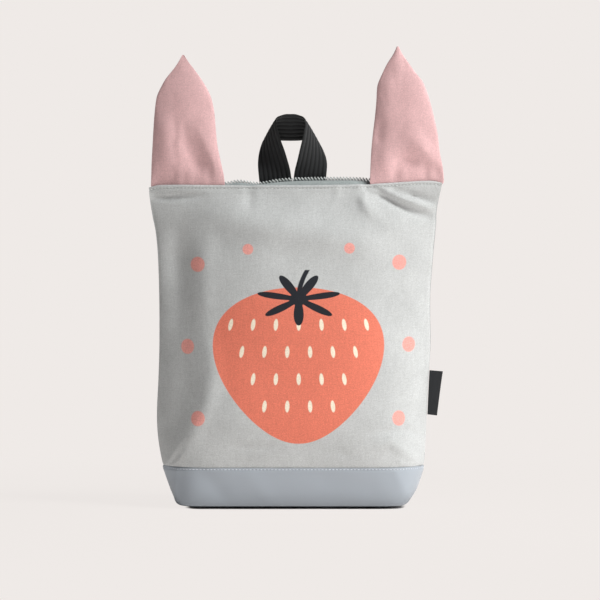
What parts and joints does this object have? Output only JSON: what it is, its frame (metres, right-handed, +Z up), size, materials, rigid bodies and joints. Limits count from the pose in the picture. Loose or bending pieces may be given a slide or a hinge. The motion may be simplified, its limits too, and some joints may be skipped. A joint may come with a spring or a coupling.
{
  "type": "kids animal backpack",
  "caption": "Small child's pouch backpack with a leatherette base, zipped top, two upright padded ears, a webbing carrying loop and webbing shoulder straps.",
  "frame": {"origin": "middle of the standing base, on the surface that it stands on", "axes": "+Z up, -Y towards the front, +X to the right seen from the front"},
  "size_m": [0.2746, 0.1472, 0.4274],
  "materials": {
    "canvas": "light grey cotton canvas with a soft printed design",
    "leatherette": "satin bluish grey leatherette with fine grain",
    "cotton": "dusty pink cotton",
    "webbing": "black ribbed webbing",
    "tape": "light grey woven zip tape",
    "teeth": "satin grey plastic",
    "metal": "dull nickel",
    "lock": "black moulded plastic",
    "label": "black woven ribbon"
  },
  "bodies": {
    "bag": {"front_panel": "canvas", "back_panel": "canvas", "base_shell": "leatherette", "ear_left": "cotton", "ear_right": "cotton", "zip_tape_front": "tape", "zip_tape_back": "tape", "zip_chain": "teeth", "zip_slider": "metal", "carrying_loop": "webbing", "side_label": "label", "strap_left_upper": "webbing", "strap_left_lower": "webbing", "ladder_lock_left": "lock", "strap_right_upper": "webbing", "strap_right_lower": "webbing", "ladder_lock_right": "lock"},
    "pull": {"zip_pull": "metal"}
  },
  "joints": [
    {"name": "pull_swing", "type": "hinge", "parent": "bag", "child": "pull", "pos_m": [0.09382, 0.0016, 0.30937], "axis": [0, 1, 0], "range_deg": [0, 172]}
  ]
}
